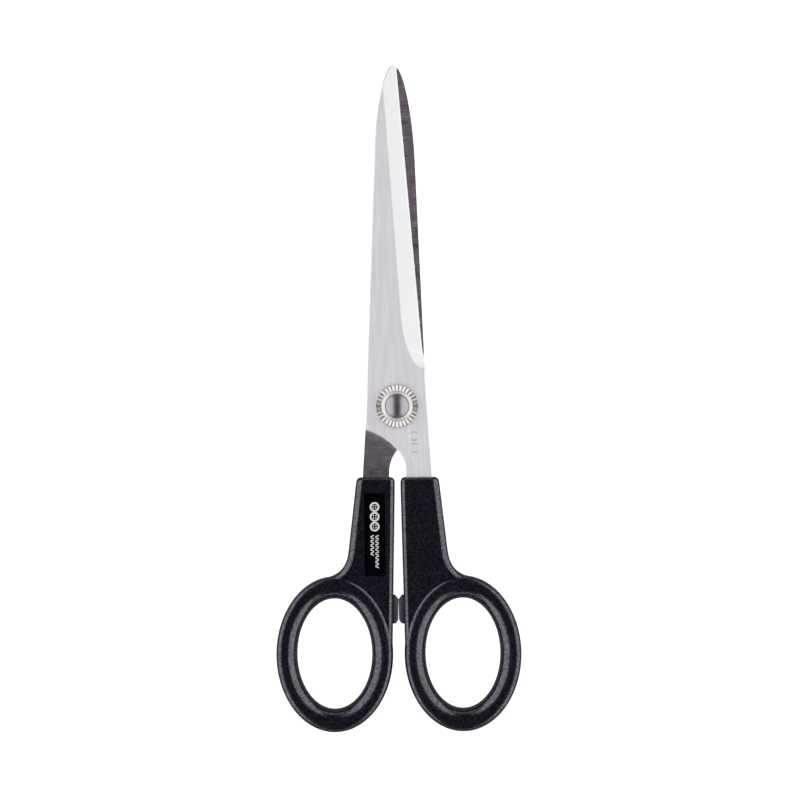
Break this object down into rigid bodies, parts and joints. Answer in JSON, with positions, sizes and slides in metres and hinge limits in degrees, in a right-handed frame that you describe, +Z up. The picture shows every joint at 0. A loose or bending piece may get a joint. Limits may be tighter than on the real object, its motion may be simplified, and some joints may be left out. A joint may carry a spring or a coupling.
{
  "type": "fabric shears",
  "caption": "Right-handed shears: two bevelled steel blades on a domed rivet with a fluted washer, tangs moulded in black looped handles with stop pads.",
  "frame": {"origin": "centre of the footprint of the closed shears, on the surface they lie on", "axes": "+Y along the shears from the finger loops to the blade points, +Z up through their thickness, +X toward the handle of the front blade"},
  "size_m": [0.0662, 0.18, 0.008],
  "materials": {
    "blade_outer": "lengthwise brushed stainless steel, bevels ground crosswise",
    "blade_inner": "ground stainless steel, darker inner face",
    "rivet": "polished",
    "washers": "bright nickel plate",
    "handle": "fine satin texture",
    "stop_pad": "soft satin",
    "label": null
  },
  "bodies": {
    "rear_half": {"rear_blade": "blade_inner", "handle_left": "handle", "stop_pad_left": "stop_pad", "label": "label", "pivot_rivet": "rivet", "fluted_washer": "washers", "back_washer": "washers"},
    "front_half": {"front_blade": "blade_outer", "handle_right": "handle", "stop_pad_right": "stop_pad"}
  },
  "joints": [
    {"name": "blade_pivot", "type": "hinge", "parent": "rear_half", "child": "front_half", "pos_m": [0, -0.002, 0.004], "axis": [0, 0, 1], "range_deg": [0, 120]}
  ]
}
